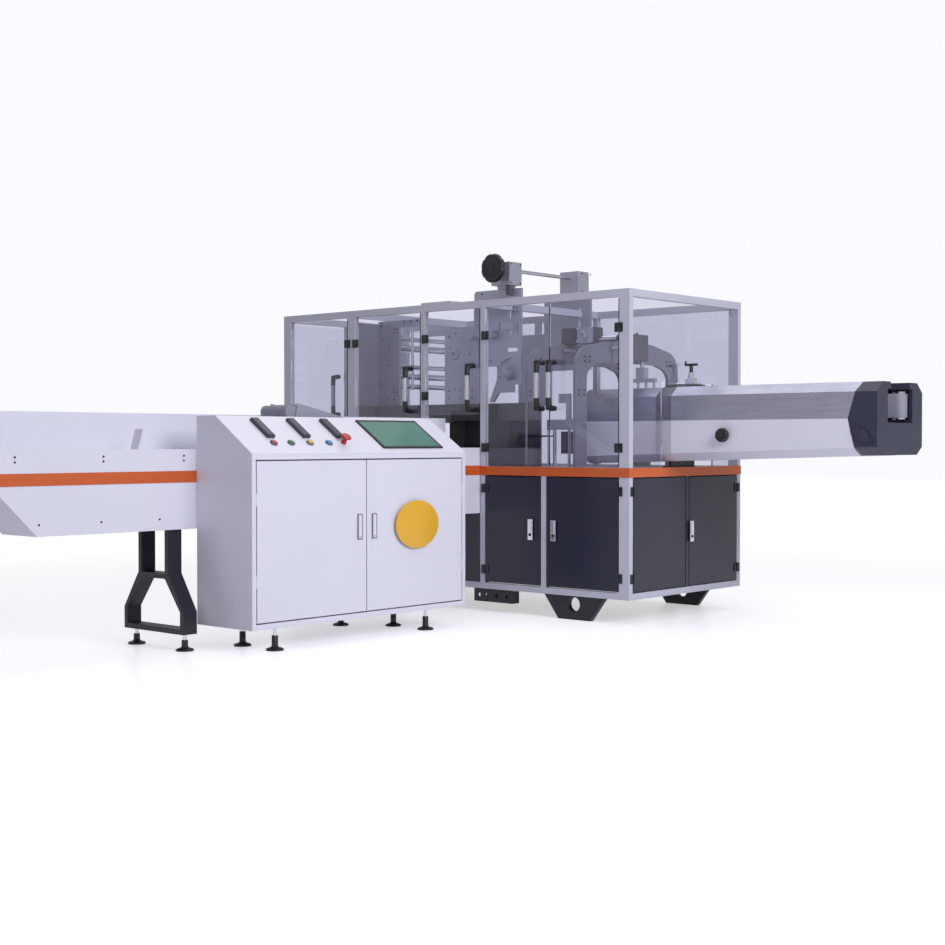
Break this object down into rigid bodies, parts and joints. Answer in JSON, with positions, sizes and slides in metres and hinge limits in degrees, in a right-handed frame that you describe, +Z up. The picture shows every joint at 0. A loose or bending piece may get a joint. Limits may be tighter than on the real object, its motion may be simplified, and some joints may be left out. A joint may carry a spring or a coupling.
{
  "type": "tissue packing machine",
  "caption": "Guarded tissue packing machine with a side infeed conveyor, a free-standing control console and a bevelled side-belt discharge conveyor.",
  "frame": {"origin": "centre of the sole of the main frame's front right foot, on the floor", "axes": "+X along the main frame towards the discharge end, +Y from the operator's side to the back, along the infeed conveyor, +Z up"},
  "size_m": [4.102, 5.128, 2.0874],
  "materials": {
    "frame_paint": "satin powder coat",
    "orange_paint": "satin powder coat",
    "navy_paint": "satin powder coat",
    "dark_steel": "semi-matt paint",
    "white_paint": "satin powder coat",
    "gray_casting": "fine textured paint",
    "plate_aluminium": "bead blasted",
    "clear_pane": "clear acrylic",
    "black_plastic": "moulded",
    "brushed_steel": "brushed",
    "bright_steel": "ground",
    "belt_rubber": "smooth belt",
    "instrument_plastic": "moulded"
  },
  "bodies": {
    "machine": {"arch_plates": "gray_casting", "base_panels": "navy_paint", "base_posts": "frame_paint", "base_rails": "frame_paint", "bearing_blocks": "plate_aluminium", "bed_base": "gray_casting", "bed_top": "dark_steel", "console_faces": "white_paint", "console_instruments": "instrument_plastic", "console_lids": "white_paint", "console_sides": "white_paint", "crank_mount": "plate_aluminium", "deck_plate": "gray_casting", "discharge_cover": "brushed_steel", "discharge_head": "navy_paint", "discharge_trough": "white_paint", "drive_boxes": "dark_steel", "film_plates": "plate_aluminium", "forming_plates": "plate_aluminium", "guard_panes": "clear_pane", "guard_posts": "frame_paint", "guard_rails": "frame_paint", "hinge_leaves": "black_plastic", "holddown_belt": "belt_rubber", "holddown_frame": "plate_aluminium", "infeed_bed": "white_paint", "infeed_flights": "white_paint", "infeed_panels": "white_paint", "infeed_stand": "dark_steel", "levelling_feet": "dark_steel", "machine_feet": "dark_steel", "orange_band": "orange_paint", "partition_wall": "gray_casting", "press_head": "plate_aluminium", "roof_beams": "frame_paint", "side_belts": "belt_rubber", "steel_rods": "bright_steel"},
    "guard_door_1": {"guard_door_1": "clear_pane", "guard_door_fittings_1": "black_plastic"},
    "guard_door_2": {"guard_door_2": "clear_pane", "guard_door_fittings_2": "black_plastic"},
    "guard_door_3": {"guard_door_3": "clear_pane", "guard_door_fittings_3": "black_plastic"},
    "guard_door_4": {"guard_door_4": "clear_pane", "guard_door_fittings_4": "black_plastic"},
    "guard_door_5": {"guard_door_5": "clear_pane", "guard_door_fittings_5": "black_plastic"},
    "guard_door_6": {"guard_door_6": "clear_pane", "guard_door_fittings_6": "black_plastic"},
    "base_door_1": {"base_door_1": "navy_paint"},
    "base_door_2": {"base_door_2": "navy_paint"},
    "base_door_3": {"base_door_3": "navy_paint"},
    "base_door_4": {"base_door_4": "navy_paint"},
    "console_door_left": {"console_door_left": "white_paint"},
    "console_door_right": {"console_door_right": "white_paint"},
    "handwheel": {"handwheel": "black_plastic"},
    "discharge_knob": {"discharge_knob": "black_plastic"},
    "crank": {"crank": "black_plastic"},
    "end_roller_near": {"end_roller_near": "bright_steel"},
    "end_roller_far": {"end_roller_far": "bright_steel"}
  },
  "joints": [
    {"name": "guard_door_1_swing", "type": "hinge", "parent": "machine", "child": "guard_door_1", "pos_m": [-1.781, -0.037, 1.295], "axis": [0, 0, 1], "range_deg": [0, 80]},
    {"name": "guard_door_2_swing", "type": "hinge", "parent": "machine", "child": "guard_door_2", "pos_m": [-1.709, -0.037, 1.295], "axis": [0, 0, -1], "range_deg": [0, 80]},
    {"name": "guard_door_3_swing", "type": "hinge", "parent": "machine", "child": "guard_door_3", "pos_m": [-1.111, -0.037, 1.446], "axis": [0, 0, -1], "range_deg": [0, 85]},
    {"name": "guard_door_4_swing", "type": "hinge", "parent": "machine", "child": "guard_door_4", "pos_m": [-0.636, -0.037, 1.295], "axis": [0, 0, -1], "range_deg": [0, 80]},
    {"name": "guard_door_5_swing", "type": "hinge", "parent": "machine", "child": "guard_door_5", "pos_m": [0.311, -0.037, 1.295], "axis": [0, 0, 1], "range_deg": [0, 100]},
    {"name": "guard_door_6_swing", "type": "hinge", "parent": "machine", "child": "guard_door_6", "pos_m": [-2.386, 0.008, 1.295], "axis": [0, 0, 1], "range_deg": [0, 100]},
    {"name": "base_door_1_swing", "type": "hinge", "parent": "machine", "child": "base_door_1", "pos_m": [0.311, -0.037, 0.48], "axis": [0, 0, 1], "range_deg": [0, 100]},
    {"name": "base_door_2_swing", "type": "hinge", "parent": "machine", "child": "base_door_2", "pos_m": [-0.636, -0.037, 0.48], "axis": [0, 0, -1], "range_deg": [0, 80]},
    {"name": "base_door_3_swing", "type": "hinge", "parent": "machine", "child": "base_door_3", "pos_m": [0.387, 0.008, 0.48], "axis": [0, 0, -1], "range_deg": [0, 100]},
    {"name": "base_door_4_swing", "type": "hinge", "parent": "machine", "child": "base_door_4", "pos_m": [0.387, 1.054, 0.48], "axis": [0, 0, 1], "range_deg": [0, 100]},
    {"name": "console_door_left_swing", "type": "hinge", "parent": "machine", "child": "console_door_left", "pos_m": [-0.27, -2.056, 0.52], "axis": [0, 0, -1], "range_deg": [0, 100]},
    {"name": "console_door_right_swing", "type": "hinge", "parent": "machine", "child": "console_door_right", "pos_m": [-0.27, -0.64, 0.52], "axis": [0, 0, 1], "range_deg": [0, 90]},
    {"name": "handwheel_spin", "type": "hinge", "parent": "machine", "child": "handwheel", "pos_m": [-0.7, 0.2, 2], "axis": [0, 1, 0], "continuous": true},
    {"name": "discharge_knob_spin", "type": "hinge", "parent": "machine", "child": "discharge_knob", "pos_m": [0.78, 0.25, 1.017], "axis": [0, 1, 0], "continuous": true},
    {"name": "crank_spin", "type": "hinge", "parent": "machine", "child": "crank", "pos_m": [0.436, 0.48, 1.38], "axis": [0, 0, 1], "continuous": true},
    {"name": "end_roller_near_spin", "type": "hinge", "parent": "machine", "child": "end_roller_near", "pos_m": [1.58, 0.394, 1.167], "axis": [0, 0, 1], "continuous": true},
    {"name": "end_roller_far_spin", "type": "hinge", "parent": "machine", "child": "end_roller_far", "pos_m": [1.58, 0.668, 1.167], "axis": [0, 0, 1], "continuous": true}
  ]
}
